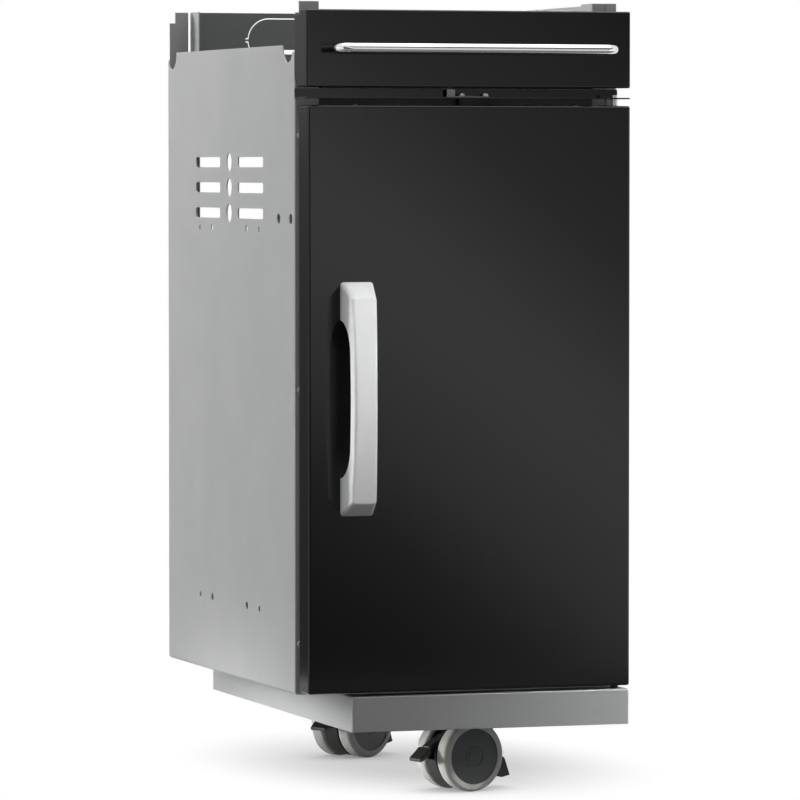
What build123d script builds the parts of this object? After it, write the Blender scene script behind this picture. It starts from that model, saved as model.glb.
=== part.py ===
from build123d import *
import os
from math import radians, sin, sqrt

# Grill cabinet module on a two-caster plinth. Millimetres, +Z up, -Y is the door side.
# The origin lies on the floor under the middle of the overall box.

# Carcass sizes
cabinet_width = 357.0
carcass_depth = 483.5
sheet = 1.5
left_panel_height = 676.5
right_panel_height = 722.0
panel_flange = 12.0
floor_flange = 14.0
fold_radius = 2.0
post_width = 25.5
post_depth = 34.5
rear_post_notch = 6.5
front_post_notch = 4.0
post_notch_height = 12.0
relief_width = 2.6
relief_length = 62.0
floor_lip = 15.0
rear_panel_height = 676.0
window_width = 86.0
window_height = 100.0
window_radius = 8.0
window_side_gap = 5.5
window_height_above_floor = 475.0
rail_tab = 22.0
rear_rail_height = 41.0
rear_rail_end = 34.0
rear_rail_end_drop = 3.5
knockout_width = 172.5
knockout_radius = 25.0
knockout_rise = 10.5
knockout_slit = 1.3
knockout_bridge = 2.4
knockout_tick = 3.2
knockout_tick_height = 1.2
front_rail_height = 54.0
front_rail_drop = 12.0

# Side panel openings
vent_rows = 3
vent_pitch = 27.5
vent_slot_height = 11.0
vent_slot_length = 94.0
vent_overall = 256.0
vent_slot_radius = 3.0
vent_hole_diameter = 20.0
vent_drop = 122.0
side_hole_height = 79.0
side_row_spacing = 404.0
outer_hole_spacing = 226.0
outer_hole_radius = 3.25
inner_hole_spacing = 132.0
inner_hole_radius = 4.25
front_hole_height = 495.0
front_hole_inset = 13.5
front_hole_spacing = 43.5
front_hole_radius = 5.5
hose_notch_radius = 18.5
rear_notch_inset = 17.0
front_notch_inset = 24.0
front_notch_step = 7.5

# Plinth sizes
plinth_clearance = 72.0
plinth_height = 37.5
plinth_left_setback = 50.0
plinth_front_inset = 2.0
plinth_rear_inset = 4.5
plinth_radius = 2.0

# Fascia, hinge plate and towel rail sizes
front_space = 42.0
plate_gap = 7.0
plate_front_inset = 2.0
plate_flange_height = 34.0
plate_upstand = 9.0
fascia_gap = 10.0
fascia_height = 80.5
fascia_top_depth = 22.0
fascia_bottom_depth = 20.0
fascia_step = 5.0
fascia_foot_notch = 8.0
fascia_radius = 2.0
rail_diameter = 10.6
rail_length = 312.5
rail_standoff = 32.0
rail_bend_radius = 11.5
rail_drop = 40.5
rail_screw_depth = 9.0

# Door sizes
door_width = 355.0
door_height = 611.5
door_depth = 32.0
door_bottom_gap = 3.5
door_radius = 2.5
liner_flange = 12.0
hinge_side_inset = 12.0
hinge_depth = 16.0
pin_diameter = 6.0
pin_engagement = 10.0
pin_stub = 3.0
pin_head_diameter = 10.0
pin_head_height = 3.0
bush_diameter = 10.0
bush_collar = 14.0
bush_collar_height = 2.0
bush_length = 12.5
spacer_diameter = 9.0
buffer_diameter = 10.0
buffer_inset = 12.0
buffer_end_gap = 60.0

# Handle sizes
handle_height = 243.0
handle_reach = 51.5
handle_end_reach = 41.0
handle_end_slope = 15.0
handle_base_width = 36.0
handle_front_width = 24.3
handle_grip = 15.0
handle_foot = 39.5
handle_arch = 28.0
handle_arch_lead = 0.68
handle_arch_lift = 0.66
handle_left_inset = 34.5
handle_rise = 185.0
handle_corner_radius = 4.0
handle_edge_radius = 3.0
handle_screw_depth = 12.0

# Catch sizes
catch_width = 34.0
catch_height = 19.5
catch_offset = 16.5
catch_screw_spacing = 26.0
catch_tab_width = 9.0
catch_tab_height = 8.5
catch_tab_gap = 4.5
magnet_width = 30.0
magnet_height = 8.0
magnet_depth = 4.0
strike_width = 36.0
strike_height = 10.0
strike_thickness = 1.2

# Caster sizes
wheel_diameter = 75.0
wheel_width = 19.0
wheel_gap = 21.0
front_caster_distance = 81.0
rear_caster_distance = 73.5
caster_line_shift = 2.5
caster_stagger = 3.5
front_caster_turn = 14.5
rear_caster_turn = 30.0
caster_trail = 16.0
caster_plate_side = 60.0
caster_plate_thickness = 2.5
caster_bolt_spacing = 44.0
kingpin_diameter = 10.0
kingpin_flange = 14.0
kingpin_flange_height = 1.0
kingpin_reach = 20.0
neck_radius = 20.0
hood_thickness = 3.5
hood_clearance = 2.5
hood_half_angle = 28.0
fork_thickness = 18.5
fork_disc_radius = 36.0
axle_diameter = 8.0
axle_engagement = 13.0
tread_inner_radius = 29.5
tread_radius = 5.0
disc_thickness = 5.0
disc_recess = 1.2
rim_wall = 6.0
hub_radius = 9.0
cap_radius = 11.0
cap_groove = 1.0
cap_groove_depth = 0.6
cap_boss_radius = 7.0
cap_boss_height = 0.6
wedge_root = 9.0
wedge_root_rise = 24.0
wedge_shoulder = 27.0
wedge_shoulder_rise = 16.5
wedge_brow = 51.5
wedge_brow_height = 31.0
wedge_reach = 58.0
wedge_tip_height = 13.0
wedge_toe = 10.0
wedge_foot = 11.0
wedge_heel_height = 18.0
pedal_pivot_back = 22.0
pedal_pivot_up = 18.5
pedal_pin_diameter = 4.0
pedal_boss_radius = 5.0
pedal_arm_thickness = 11.9
pedal_ear = 3.0
pedal_slot_depth = 22.0
pedal_root_rise = 6.5
pedal_paddle_width = 23.0
pedal_paddle_length = 14.0
pedal_paddle_drop = 8.0
pedal_paddle_thickness = 9.0
pedal_edge_radius = 1.5
pedal_wheel_clearance = 5.0

# Fastener sizes
rivet_diameter = 4.0
rivet_head_diameter = 8.0
rivet_head_height = 1.2
rivet_crown_radius = 0.9
rivet_tail_diameter = 5.6
rivet_end_gap = 50.0
screw_diameter = 4.0
screw_head_diameter = 7.0
screw_head_height = 2.8
screw_crown_radius = 1.7
screw_recess_length = 3.8
screw_recess_width = 0.9
screw_recess_depth = 1.2
bolt_diameter = 6.0
bolt_head_across = 10.0
bolt_head_height = 4.0
nut_height = 5.0

# Clearances
snug = 0.05
running = 0.05
play = 0.3

# Places worked out from the sizes
side_x = cabinet_width / 2
overall_depth = handle_reach + front_space + carcass_depth + rivet_head_height
door_front = handle_reach - overall_depth / 2
carcass_front = door_front + front_space
carcass_rear = carcass_front + carcass_depth
panel_middle = (carcass_front + carcass_rear) / 2
plinth_top = plinth_clearance + plinth_height
floor_top = plinth_top + sheet
panel_inner_x = side_x - sheet
post_inner_x = panel_inner_x - post_width
post_bottom = floor_top + sheet
left_panel_top = floor_top + left_panel_height
carcass_top = floor_top + right_panel_height
plinth_left = plinth_left_setback - side_x
plinth_front = door_front + plinth_front_inset
plinth_rear = carcass_rear - plinth_rear_inset
plinth_middle_x = (plinth_left + side_x) / 2
door_left = side_x - door_width
door_rear = door_front + door_depth
door_bottom = plinth_top + door_bottom_gap
door_top = door_bottom + door_height
plate_bottom = door_top + plate_gap
plate_top = plate_bottom + sheet
fascia_bottom = plate_top + fascia_gap
fascia_top = fascia_bottom + fascia_height
hinge_x = side_x - hinge_side_inset
hinge_y = door_front + hinge_depth
rail_z = fascia_top - rail_drop
rail_foot_x = rail_length / 2 - rail_diameter / 2
handle_x = door_left + handle_left_inset + handle_base_width / 2
handle_bottom = door_bottom + handle_rise
handle_top = handle_bottom + handle_height
flange_middle_x = side_x - sheet - (panel_flange - sheet) / 2
catch_front = door_rear + strike_thickness + play
catch_left = catch_offset - catch_width / 2
wheel_radius = wheel_diameter / 2
caster_top = plinth_top - sheet
caster_plate_bottom = caster_top - caster_plate_thickness
fork_top = caster_plate_bottom - play
bolt_hole_radius = bolt_diameter / 2 + 2 * snug
caster_line_x = plinth_middle_x + caster_line_shift
caster_places = {
    "front": (caster_line_x + caster_stagger, plinth_front + front_caster_distance),
    "rear": (caster_line_x - caster_stagger, plinth_rear - rear_caster_distance),
}
caster_turns = {"front": front_caster_turn, "rear": rear_caster_turn}
pedal_x = -caster_trail - pedal_pivot_back
pedal_z = wheel_radius + pedal_pivot_up


# Small helpers
def block(x0, x1, y0, y1, z0, z1):
    """Box between two corners, given per axis in either order."""
    middle = Pos((x0 + x1) / 2, (y0 + y1) / 2, (z0 + z1) / 2)
    return middle * Box(abs(x1 - x0), abs(y1 - y0), abs(z1 - z0))


def rod(start, end, radius):
    """Cylinder from one point to another."""
    way = Vector(*end) - Vector(*start)
    return Solid.make_cylinder(radius, way.length, Plane(origin=start, z_dir=way))


def hexagon(centre, across, height):
    """Upright hexagonal prism standing on a point."""
    outline = Pos(*centre) * RegularPolygon(across / sqrt(3), 6)
    return extrude(outline, height, dir=(0, 0, 1))


def group(solids):
    """Several separate solids kept in one node."""
    return Compound(children=[Solid(piece.solids()[0].wrapped) for piece in solids])


def rounded_pan(x0, x1, y0, y1, z0, z1, radius, open_back):
    """Folded sheet pan: a rounded box hollowed out, with its back or else its underside left open."""
    outer = block(x0, x1, y0, y1, z0, z1)
    open_face = outer.faces().sort_by(Axis.Y)[-1] if open_back else outer.faces().sort_by(Axis.Z)[0]
    rim = [edge.center() for edge in open_face.edges()]
    kept = [edge for edge in outer.edges() if min((edge.center() - spot).length for spot in rim) > snug]
    inner_y1 = y1 if open_back else y1 - sheet
    inner_z0 = z0 + sheet if open_back else z0
    return fillet(kept, radius) - block(x0 + sheet, x1 - sheet, y0 + sheet, inner_y1, inner_z0, z1 - sheet)


# Rivets
def corner_rivet_heights():
    """Heights of the three rivets that tie a side panel to each post."""
    low = post_bottom + rivet_end_gap
    high = fascia_bottom - rivet_end_gap
    return [low, (low + high) / 2, high]


def rivet_lines():
    """Start and end of each rivet's grip: outer sheet face to inner sheet face."""
    lines = []
    for side in (-1, 1):
        for height in corner_rivet_heights():
            front = (side * flange_middle_x, carcass_front, height)
            rear = (side * flange_middle_x, carcass_rear, height)
            lines.append((front, (front[0], front[1] + 2 * sheet, height)))
            lines.append((rear, (rear[0], rear[1] - 2 * sheet, height)))
    return lines


def rail_rivet_lines():
    """Grips of the rivets that tie the front rail and rear panel to the posts' inner flanges."""
    front_y = carcass_front + 2 * sheet + rail_tab / 2
    rear_y = carcass_rear - 2 * sheet - rail_tab / 2
    spots = [
        (front_y, plate_bottom + front_rail_height / 4),
        (front_y, plate_bottom + front_rail_height * 3 / 4),
        (rear_y, post_bottom + rivet_end_gap),
        (rear_y, floor_top + rear_panel_height - rivet_end_gap),
    ]
    inner = post_inner_x - sheet
    outer = post_inner_x + sheet
    return [((side * inner, y, z), (side * outer, y, z)) for side in (-1, 1) for y, z in spots]


def plate_rivet_lines():
    """Grips of the rivets that tie the hinge plate to the front cross rail."""
    height = plate_top + plate_flange_height / 2
    places = (sheet - post_inner_x + rivet_end_gap, post_inner_x - sheet - rivet_end_gap)
    return [((x, carcass_front, height), (x, carcass_front + 2 * sheet, height)) for x in places]


def all_rivet_lines():
    """Every rivet grip on the carcass."""
    return rivet_lines() + rail_rivet_lines() + plate_rivet_lines()


def rivet(start, end):
    """Blind rivet with a domed head at its start and a formed tail at its end."""
    way = (Vector(*end) - Vector(*start)).normalized()
    first = Vector(*start)
    last = Vector(*end)
    head = rod(first - way * rivet_head_height, first, rivet_head_diameter / 2)
    crown = head.faces().sort_by(Axis(start, way))[0]
    head = fillet(crown.edges(), rivet_crown_radius)
    tail = rod(last, last + way * rivet_head_height, rivet_tail_diameter / 2)
    return rod(first, last, rivet_diameter / 2) + head + tail


def with_rivet_holes(piece, lines):
    """The piece with a snug hole for each rivet that passes through it."""
    for start, end in lines:
        piece -= rod(start, end, rivet_diameter / 2 + snug)
    return piece


# Carcass sheets
def side_sheet(side, top):
    """Side panel with front, rear and floor flanges. side is -1 for left and 1 for right."""
    outer = side * side_x
    inner = side * panel_inner_x
    panel = block(outer, inner, carcass_front, carcass_rear, floor_top, top)
    for edge_y, step in ((carcass_front, sheet), (carcass_rear, -sheet)):
        panel += block(outer, side * (side_x - panel_flange), edge_y, edge_y + step, floor_top, top)
    panel += block(outer, side * (panel_inner_x - floor_flange), carcass_front, carcass_rear,
                   floor_top, floor_top + sheet)
    uprights = panel.edges().filter_by(Axis.Z)
    corners = [edge for edge in uprights if abs(abs(edge.center().X) - side_x) < snug]
    panel = fillet(corners, fold_radius)
    return with_rivet_holes(panel, rivet_lines())


def through_left(shape_yz):
    """Cutter through the left panel from an outline drawn in (depth, height)."""
    plane = Plane(origin=(-side_x - sheet, 0, 0), x_dir=(0, 1, 0), z_dir=(1, 0, 0))
    return extrude(plane * shape_yz, sheet * 3)


def vent_cutters():
    """Rows of slots either side of a column of round holes."""
    cutters = []
    slot_shift = (vent_overall - vent_slot_length) / 2
    for row in range(vent_rows):
        height = left_panel_top - vent_drop - row * vent_pitch
        for side in (-1, 1):
            slot = RectangleRounded(vent_slot_length, vent_slot_height, vent_slot_radius)
            cutters.append(through_left(Pos(panel_middle + side * slot_shift, height) * slot))
        cutters.append(through_left(Pos(panel_middle, height) * Circle(vent_hole_diameter / 2)))
    return cutters


def side_hole_cutters():
    """Bolt holes that tie the module to its neighbour."""
    cutters = []
    for height in (floor_top + side_hole_height, floor_top + side_hole_height + side_row_spacing):
        for side in (-1, 1):
            for spacing, radius in ((outer_hole_spacing, outer_hole_radius),
                                    (inner_hole_spacing, inner_hole_radius)):
                spot = Pos(panel_middle + side * spacing / 2, height)
                cutters.append(through_left(spot * Circle(radius)))
    for place in (front_hole_inset, front_hole_inset + front_hole_spacing):
        spot = Pos(carcass_front + place, floor_top + front_hole_height)
        cutters.append(through_left(spot * Circle(front_hole_radius)))
    return cutters


def left_side_panel():
    """Vented panel, cut low at the top and notched for hoses at both top corners."""
    panel = side_sheet(-1, left_panel_top)
    for cutter in vent_cutters() + side_hole_cutters():
        panel -= cutter
    notch_start = -side_x - sheet
    notch_end = sheet + panel_flange - side_x
    for place in (carcass_front + front_notch_inset, carcass_rear - rear_notch_inset):
        outside = (notch_start, place, left_panel_top)
        panel -= rod(outside, (notch_end, place, left_panel_top), hose_notch_radius)
    panel -= block(notch_start, notch_end, carcass_front, carcass_front + front_notch_inset,
                   left_panel_top - front_notch_step, left_panel_top)
    for spot in fascia_screw_spots(-1):
        panel -= fascia_screw_hole(spot)
    return panel


def right_side_panel():
    """Plain panel up to the full height of the posts."""
    panel = side_sheet(1, carcass_top)
    for spot in fascia_screw_spots(1):
        panel -= fascia_screw_hole(spot)
    return panel


def post(side, end):
    """Folded corner post, slit along the fold's top at the rear. end is -1 at the door, 1 at the rear."""
    face = carcass_front if end < 0 else carcass_rear
    outer_y = face - end * sheet
    web = block(side * panel_inner_x, side * post_inner_x, outer_y, outer_y - end * sheet,
                post_bottom, carcass_top)
    flange = block(side * post_inner_x, side * (post_inner_x + sheet), outer_y,
                   outer_y - end * post_depth, post_bottom, carcass_top)
    piece = web + flange
    if side < 0:
        notch = front_post_notch if end < 0 else rear_post_notch
        piece -= block(-side_x, notch - panel_inner_x, outer_y, outer_y - end * sheet,
                       carcass_top - post_notch_height, carcass_top)
    piece = with_rivet_holes(piece, rivet_lines() + rail_rivet_lines())
    if end < 0:
        for spot in fascia_screw_spots(side):
            piece -= fascia_screw_hole(spot)
    else:
        fold = side * (post_inner_x + sheet)
        piece -= block(fold, fold + side * relief_width, outer_y, outer_y - end * sheet,
                       carcass_top - relief_length, carcass_top)
    return piece


def floor_panel():
    """Cabinet floor with a front lip between the posts."""
    floor = block(-panel_inner_x, panel_inner_x, carcass_front, carcass_rear, plinth_top, floor_top)
    lip_y = carcass_front + 2 * sheet
    lip_x = post_inner_x - sheet
    floor += block(-lip_x, lip_x, lip_y, lip_y + sheet, floor_top, floor_top + floor_lip)
    return cut_bolt_holes(floor)


def cross_piece(face_y, inward, z0, z1):
    """Upright sheet between two posts, with a tab bent along each post's inner flange."""
    outer_y = face_y + inward * sheet
    piece = block(-post_inner_x, post_inner_x, outer_y, outer_y + inward * sheet, z0, z1)
    for side in (-1, 1):
        piece += block(side * post_inner_x, side * (post_inner_x - sheet), outer_y,
                       outer_y + inward * (sheet + rail_tab), z0, z1)
    return piece


def rear_panel():
    """Back sheet with a window for the hose and for air."""
    piece = cross_piece(carcass_rear, -1, floor_top, floor_top + rear_panel_height)
    middle_x = window_width / 2 + window_side_gap - post_inner_x
    middle_z = floor_top + window_height_above_floor + window_height / 2
    plane = Plane(origin=(middle_x, carcass_rear, middle_z), x_dir=(1, 0, 0), z_dir=(0, -1, 0))
    window = plane * RectangleRounded(window_width, window_height, window_radius)
    piece -= extrude(window, 3 * sheet)
    return with_rivet_holes(piece, rail_rivet_lines())


def knockout_slit_cutter():
    """Part-cut outline of the rear rail's hose knock-out, held by a bridge at each end and on top."""
    height = 2 * knockout_radius
    plane = Plane(origin=(0, carcass_rear, carcass_top - rear_rail_height + knockout_rise),
                  x_dir=(1, 0, 0), z_dir=(0, -1, 0))
    outer = SlotOverall(knockout_width, height)
    inner = SlotOverall(knockout_width - 2 * knockout_slit, height - 2 * knockout_slit)
    outline = outer - inner
    for side in (-1, 1):
        outline -= Pos(side * knockout_width / 2, 0) * Rectangle(4 * knockout_slit, knockout_bridge)
    outline -= Pos(0, knockout_radius) * Rectangle(knockout_bridge, 4 * knockout_slit)
    for side in (-1, 1):
        for step in (-1, 1):
            tick_x = side * (knockout_width + knockout_tick - knockout_slit) / 2
            tick_z = step * (knockout_bridge + knockout_tick_height) / 2
            outline += Pos(tick_x, tick_z) * Rectangle(knockout_tick, knockout_tick_height)
    return extrude(plane * outline, 3 * sheet)


def rear_top_rail():
    """Rear rail flush with the post tops, deeper at its ends, its tabs spot-welded to the posts."""
    foot = carcass_top - rear_rail_height
    piece = cross_piece(carcass_rear, -1, foot, carcass_top)
    for side in (-1, 1):
        piece += block(side * post_inner_x, side * (post_inner_x - rear_rail_end), carcass_rear - sheet,
                       carcass_rear - 2 * sheet, foot - rear_rail_end_drop, foot)
    return piece - knockout_slit_cutter()


def front_cross_rail():
    """Rail between the front posts that carries the hinge plate and hangs below it behind the door's top."""
    piece = cross_piece(carcass_front, 1, plate_bottom - front_rail_drop, plate_bottom + front_rail_height)
    return with_rivet_holes(piece, rail_rivet_lines() + plate_rivet_lines())


# Plinth
def bolt_spots():
    """Centres of the caster bolts, as (x, y)."""
    half = caster_bolt_spacing / 2
    turns = [(-1, -1), (1, -1), (1, 1), (-1, 1)]
    return [(x + half * dx, y + half * dy) for x, y in caster_places.values() for dx, dy in turns]


def cut_bolt_holes(piece):
    """The piece with a clearance hole for each caster bolt."""
    for x, y in bolt_spots():
        piece -= rod((x, y, caster_plate_bottom), (x, y, floor_top), bolt_hole_radius)
    return piece


def plinth():
    """Upturned tray under the cabinet, set in from the left side."""
    tray = rounded_pan(plinth_left, side_x, plinth_front, plinth_rear, plinth_clearance, plinth_top,
                       plinth_radius, open_back=False)
    tray -= rod((hinge_x, hinge_y, caster_top), (hinge_x, hinge_y, plinth_top), pin_diameter / 2 + snug)
    return cut_bolt_holes(tray)


def caster_bolts():
    """Hexagon bolts from below through the caster plates, the plinth and the floor."""
    bolts = []
    for x, y in bolt_spots():
        head_z = caster_plate_bottom - bolt_head_height
        head = hexagon((x, y, head_z), bolt_head_across, bolt_head_height)
        shank = rod((x, y, head_z), (x, y, floor_top + nut_height), bolt_diameter / 2)
        bolts.append(head + shank)
    return group(bolts)


def caster_nuts():
    """Hexagon nuts on the cabinet floor."""
    nuts = []
    for x, y in bolt_spots():
        nut = hexagon((x, y, floor_top), bolt_head_across, nut_height)
        nuts.append(nut - rod((x, y, floor_top), (x, y, floor_top + nut_height), bolt_diameter / 2 + snug))
    return group(nuts)


# Fascia and hinge plate
def fascia_screw_spots(side):
    """Places of the screws that tie the fascia's return flange to a front post."""
    low = fascia_bottom + fascia_foot_notch + screw_head_diameter
    return [(side * flange_middle_x, low), (side * flange_middle_x, low + 2 * screw_head_diameter)]


def fascia_screw_hole(spot):
    """Snug hole through the return flange, the panel flange and the post."""
    x, z = spot
    return rod((x, carcass_front - sheet, z), (x, carcass_front + 2 * sheet, z), screw_diameter / 2 + snug)


def fascia():
    """Black front box above the door, open at the back, with return flanges at its sides."""
    shell = rounded_pan(-side_x, side_x, door_front, carcass_front, fascia_bottom, fascia_top,
                        fascia_radius, open_back=True)
    inner_x = side_x - sheet
    shell -= block(-inner_x, inner_x, door_front + fascia_top_depth, carcass_front,
                   fascia_top - sheet, fascia_top)
    shell -= block(-inner_x, inner_x, door_front + fascia_bottom_depth, carcass_front,
                   fascia_bottom, fascia_bottom + sheet)
    for side in (-1, 1):
        shell += block(side * side_x, side * (side_x - panel_flange), carcass_front - sheet, carcass_front,
                       fascia_bottom + fascia_foot_notch, fascia_top - fascia_step)
        edge = side * (inner_x - sheet)
        shell -= block(side * side_x, edge, door_front + fascia_top_depth, carcass_front,
                       fascia_top - fascia_step, fascia_top)
        shell -= block(side * side_x, edge, carcass_front - fascia_foot_notch, carcass_front,
                       fascia_bottom, fascia_bottom + fascia_foot_notch)
        for spot in fascia_screw_spots(side):
            shell -= fascia_screw_hole(spot)
        foot = (side * rail_foot_x, door_front, rail_z)
        shell -= rod(foot, (foot[0], door_front + sheet, rail_z), screw_diameter / 2 + snug)
    return shell


def pan_screw(head_point, tip_point):
    """Cross-recessed pan-head screw whose head sits on the near side of head_point."""
    way = Vector(*tip_point) - Vector(*head_point)
    head = rod((0, 0, -screw_head_height), (0, 0, 0), screw_head_diameter / 2)
    crown = head.faces().sort_by(Axis.Z)[0]
    head = fillet(crown.edges(), screw_crown_radius)
    for turn in (0, 90):
        slot = Box(screw_recess_length, screw_recess_width, 2 * screw_recess_depth)
        head -= Pos(0, 0, -screw_head_height) * Rot(0, 0, turn) * slot
    screw = head + rod((0, 0, 0), (0, 0, way.length), screw_diameter / 2)
    return Plane(origin=head_point, z_dir=way).location * screw


def fascia_screws():
    """Screws driven from inside the cabinet into the fascia's return flanges."""
    screws = []
    for side in (-1, 1):
        for x, z in fascia_screw_spots(side):
            screws.append(pan_screw((x, carcass_front + 2 * sheet, z), (x, carcass_front - 2 * sheet, z)))
    return group(screws)


def towel_rail():
    """Bent round bar with both ends square to the fascia."""
    bar_y = door_front - rail_standoff
    points = [
        (-rail_foot_x, door_front, rail_z),
        (-rail_foot_x, bar_y, rail_z),
        (rail_foot_x, bar_y, rail_z),
        (rail_foot_x, door_front, rail_z),
    ]
    path = FilletPolyline(*points, radius=rail_bend_radius)
    section = Plane(origin=points[0], z_dir=(0, -1, 0)) * Circle(rail_diameter / 2)
    bar = sweep(section, path)
    for side in (-1, 1):
        foot = (side * rail_foot_x, door_front, rail_z)
        bar -= rod(foot, (foot[0], door_front - rail_screw_depth, rail_z), screw_diameter / 2 + snug)
    return bar


def towel_rail_screws():
    """Screws from inside the fascia into the rail's ends."""
    screws = []
    for side in (-1, 1):
        x = side * rail_foot_x
        tip = (x, door_front - rail_screw_depth + play, rail_z)
        screws.append(pan_screw((x, door_front + sheet, rail_z), tip))
    return group(screws)


def hinge_plate():
    """Thin full-width plate over the door, with an upstand and a rear flange on the front cross rail."""
    front = door_front + plate_front_inset
    plate = block(-side_x, side_x, front, carcass_front, plate_bottom, plate_top)
    plate += block(-side_x, side_x, carcass_front - sheet, carcass_front, plate_top, plate_top + plate_upstand)
    tongue = post_inner_x - sheet
    plate += block(-tongue, tongue, carcass_front, carcass_front + sheet,
                   plate_bottom, plate_top + plate_flange_height)
    plate -= rod((hinge_x, hinge_y, plate_bottom), (hinge_x, hinge_y, plate_top), pin_diameter / 2 + snug)
    for x, y in catch_screw_spots():
        plate -= rod((x, y, plate_bottom), (x, y, plate_top), screw_diameter / 2 + snug)
    return with_rivet_holes(plate, plate_rivet_lines())


# Catch
def catch_screw_spots():
    """Places of the two catch screws."""
    y = (catch_front + carcass_front - sheet - play) / 2
    half = catch_screw_spacing / 2
    return [(catch_offset - half, y), (catch_offset + half, y)]


def catch_housing():
    """Magnet holder hung under the hinge plate behind the door's top edge."""
    z0 = plate_bottom - catch_height
    body = block(catch_left, catch_left + catch_width, catch_front, carcass_front, z0, plate_bottom)
    body -= magnet_box(snug)
    for x, y in catch_screw_spots():
        bore_end = plate_bottom - catch_height / 2
        body -= rod((x, y, bore_end), (x, y, plate_bottom), screw_diameter / 2 + snug)
    return body


def magnet_box(gap):
    """Space of the magnet, grown by a gap on the sides that its holder covers."""
    z0 = plate_bottom - catch_height + sheet
    half = magnet_width / 2 + gap
    return block(catch_offset - half, catch_offset + half, catch_front, catch_front + magnet_depth,
                 z0 - gap, z0 + magnet_height + gap)


def catch_magnet():
    """Bar magnet flush with the holder's front."""
    return magnet_box(0.0)


def catch_bracket():
    """Sheet strip under the screw heads with an upright tab at its left end."""
    left = catch_left - catch_tab_gap - catch_tab_width
    strip = block(left, catch_left + catch_width, catch_front, carcass_front - sheet - play,
                  plate_top, plate_top + sheet)
    strip += block(left, left + catch_tab_width, catch_front, catch_front + sheet, plate_top,
                   plate_top + catch_tab_height)
    for x, y in catch_screw_spots():
        strip -= rod((x, y, plate_top), (x, y, plate_top + sheet), screw_diameter / 2 + snug)
    return strip


def catch_screws():
    """Pan-head screws through the bracket and the plate into the holder."""
    screws = []
    for x, y in catch_screw_spots():
        tip = (x, y, plate_bottom - catch_height / 2 + play)
        screws.append(pan_screw((x, y, plate_top + sheet), tip))
    return group(screws)


# Door
def hinge_bore(z0, z1, radius):
    """Upright cylinder on the hinge axis."""
    return rod((hinge_x, hinge_y, z0), (hinge_x, hinge_y, z1), radius)


def door_skin():
    """Gloss pan that makes the door's front and edges."""
    skin = rounded_pan(door_left, side_x, door_front, door_rear, door_bottom, door_top,
                       door_radius, open_back=True)
    skin -= hinge_bore(door_top - sheet, door_top, bush_diameter / 2 + snug)
    skin -= hinge_bore(door_bottom, door_bottom + sheet, bush_diameter / 2 + snug)
    for x, z in handle_screw_spots():
        skin -= rod((x, door_front, z), (x, door_front + sheet, z), screw_diameter / 2 + snug)
    return skin


def door_liner():
    """Inner pan welded inside the skin's edges, flush with the door's back."""
    x0 = door_left + sheet
    x1 = side_x - sheet
    z0 = door_bottom + sheet
    z1 = door_top - sheet
    liner = block(x0, x1, door_rear - liner_flange, door_rear, z0, z1)
    liner -= block(x0 + sheet, x1 - sheet, door_rear - liner_flange, door_rear - sheet,
                   z0 + sheet, z1 - sheet)
    bush_gap = bush_collar / 2 + play
    for end in (z0, z1):
        liner -= block(hinge_x - bush_gap, hinge_x + bush_gap, hinge_y - bush_gap, hinge_y + bush_gap,
                       end - sheet, end + sheet)
    return liner


def door_bush(face_z, inward):
    """Collared plain bearing flush with one end of the door. inward points into the door."""
    sleeve = hinge_bore(face_z, face_z + inward * bush_length, bush_diameter / 2)
    seat = face_z + inward * sheet
    sleeve += hinge_bore(seat, seat + inward * bush_collar_height, bush_collar / 2)
    return sleeve - hinge_bore(face_z, face_z + inward * bush_length, pin_diameter / 2 + running)


def upper_hinge_pin():
    """Plain pin through the hinge plate into the door's upper bush."""
    return hinge_bore(door_top - pin_engagement, plate_top + pin_stub, pin_diameter / 2)


def lower_hinge_pin():
    """Pin standing on the plinth, with its head under the plinth's top sheet."""
    pin = hinge_bore(caster_top, door_bottom + pin_engagement, pin_diameter / 2)
    return pin + hinge_bore(caster_top - pin_head_height, caster_top, pin_head_diameter / 2)


def hinge_spacer():
    """Black ring on the lower pin that carries the door."""
    ring = hinge_bore(plinth_top, door_bottom - play, spacer_diameter / 2)
    return ring - hinge_bore(plinth_top, door_bottom - play, pin_diameter / 2 + snug)


def door_buffers():
    """Rubber stops on the door's back that meet the left post's flange."""
    x = door_left + buffer_inset
    stop = carcass_front - play
    heights = (door_bottom + buffer_end_gap, door_top - buffer_end_gap)
    return group([rod((x, door_rear, z), (x, stop, z), buffer_diameter / 2) for z in heights])


def strike_plate():
    """Steel keeper on the door's back, facing the magnet."""
    middle_z = plate_bottom - catch_height + sheet + magnet_height / 2
    half_x = strike_width / 2
    half_z = strike_height / 2
    return block(catch_offset - half_x, catch_offset + half_x, door_rear, door_rear + strike_thickness,
                 middle_z - half_z, middle_z + half_z)


# Handle
def handle_screw_spots():
    """Places of the two handle screws, in the middle of each foot."""
    inset = handle_foot / 2
    return [(handle_x, handle_bottom + inset), (handle_x, handle_top - inset)]


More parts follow.
